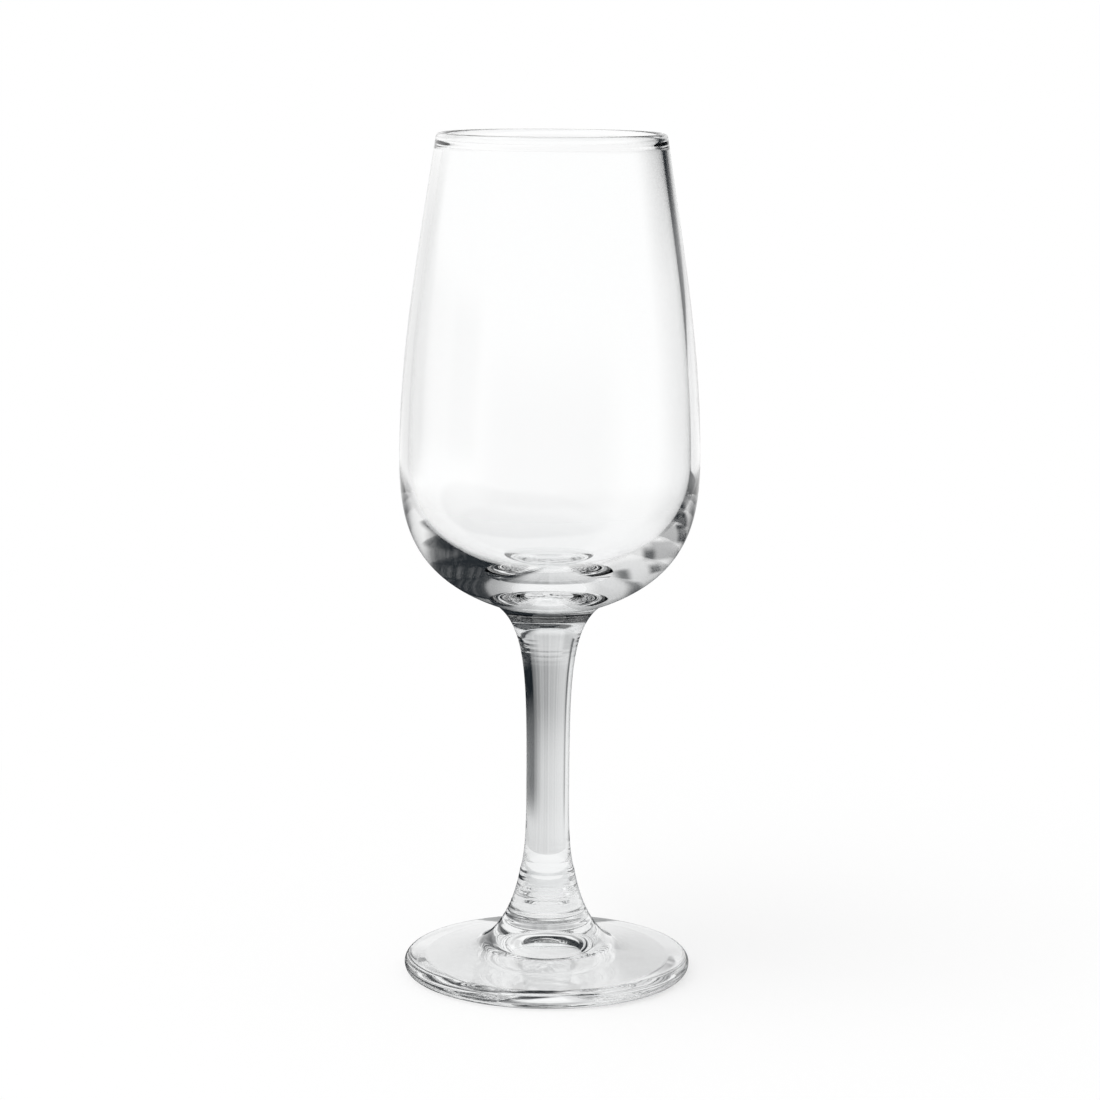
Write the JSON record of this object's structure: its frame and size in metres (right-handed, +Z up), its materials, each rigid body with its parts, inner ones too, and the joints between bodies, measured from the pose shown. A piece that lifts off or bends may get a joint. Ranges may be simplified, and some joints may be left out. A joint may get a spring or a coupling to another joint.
{
  "type": "sherry glass",
  "caption": "Stemmed sherry glass with a tall tulip bowl, beaded rim, waisted stem and round pressed foot, for serving fortified wine.",
  "frame": {"origin": "middle of the plane that the foot rests on, on the glass's axis", "axes": "+Z up along the axis of revolution, from the foot to the rim; X and Y are alike"},
  "size_m": [0.053, 0.053, 0.15],
  "materials": {
    "bowl_glass": "clear, blown, fire-polished",
    "stem_glass": "clear, drawn, fire-polished",
    "foot_glass": "clear, pressed, fire-polished"
  },
  "bodies": {
    "root": {"bowl": "bowl_glass", "stem": "stem_glass", "foot": "foot_glass"}
  },
  "joints": []
}
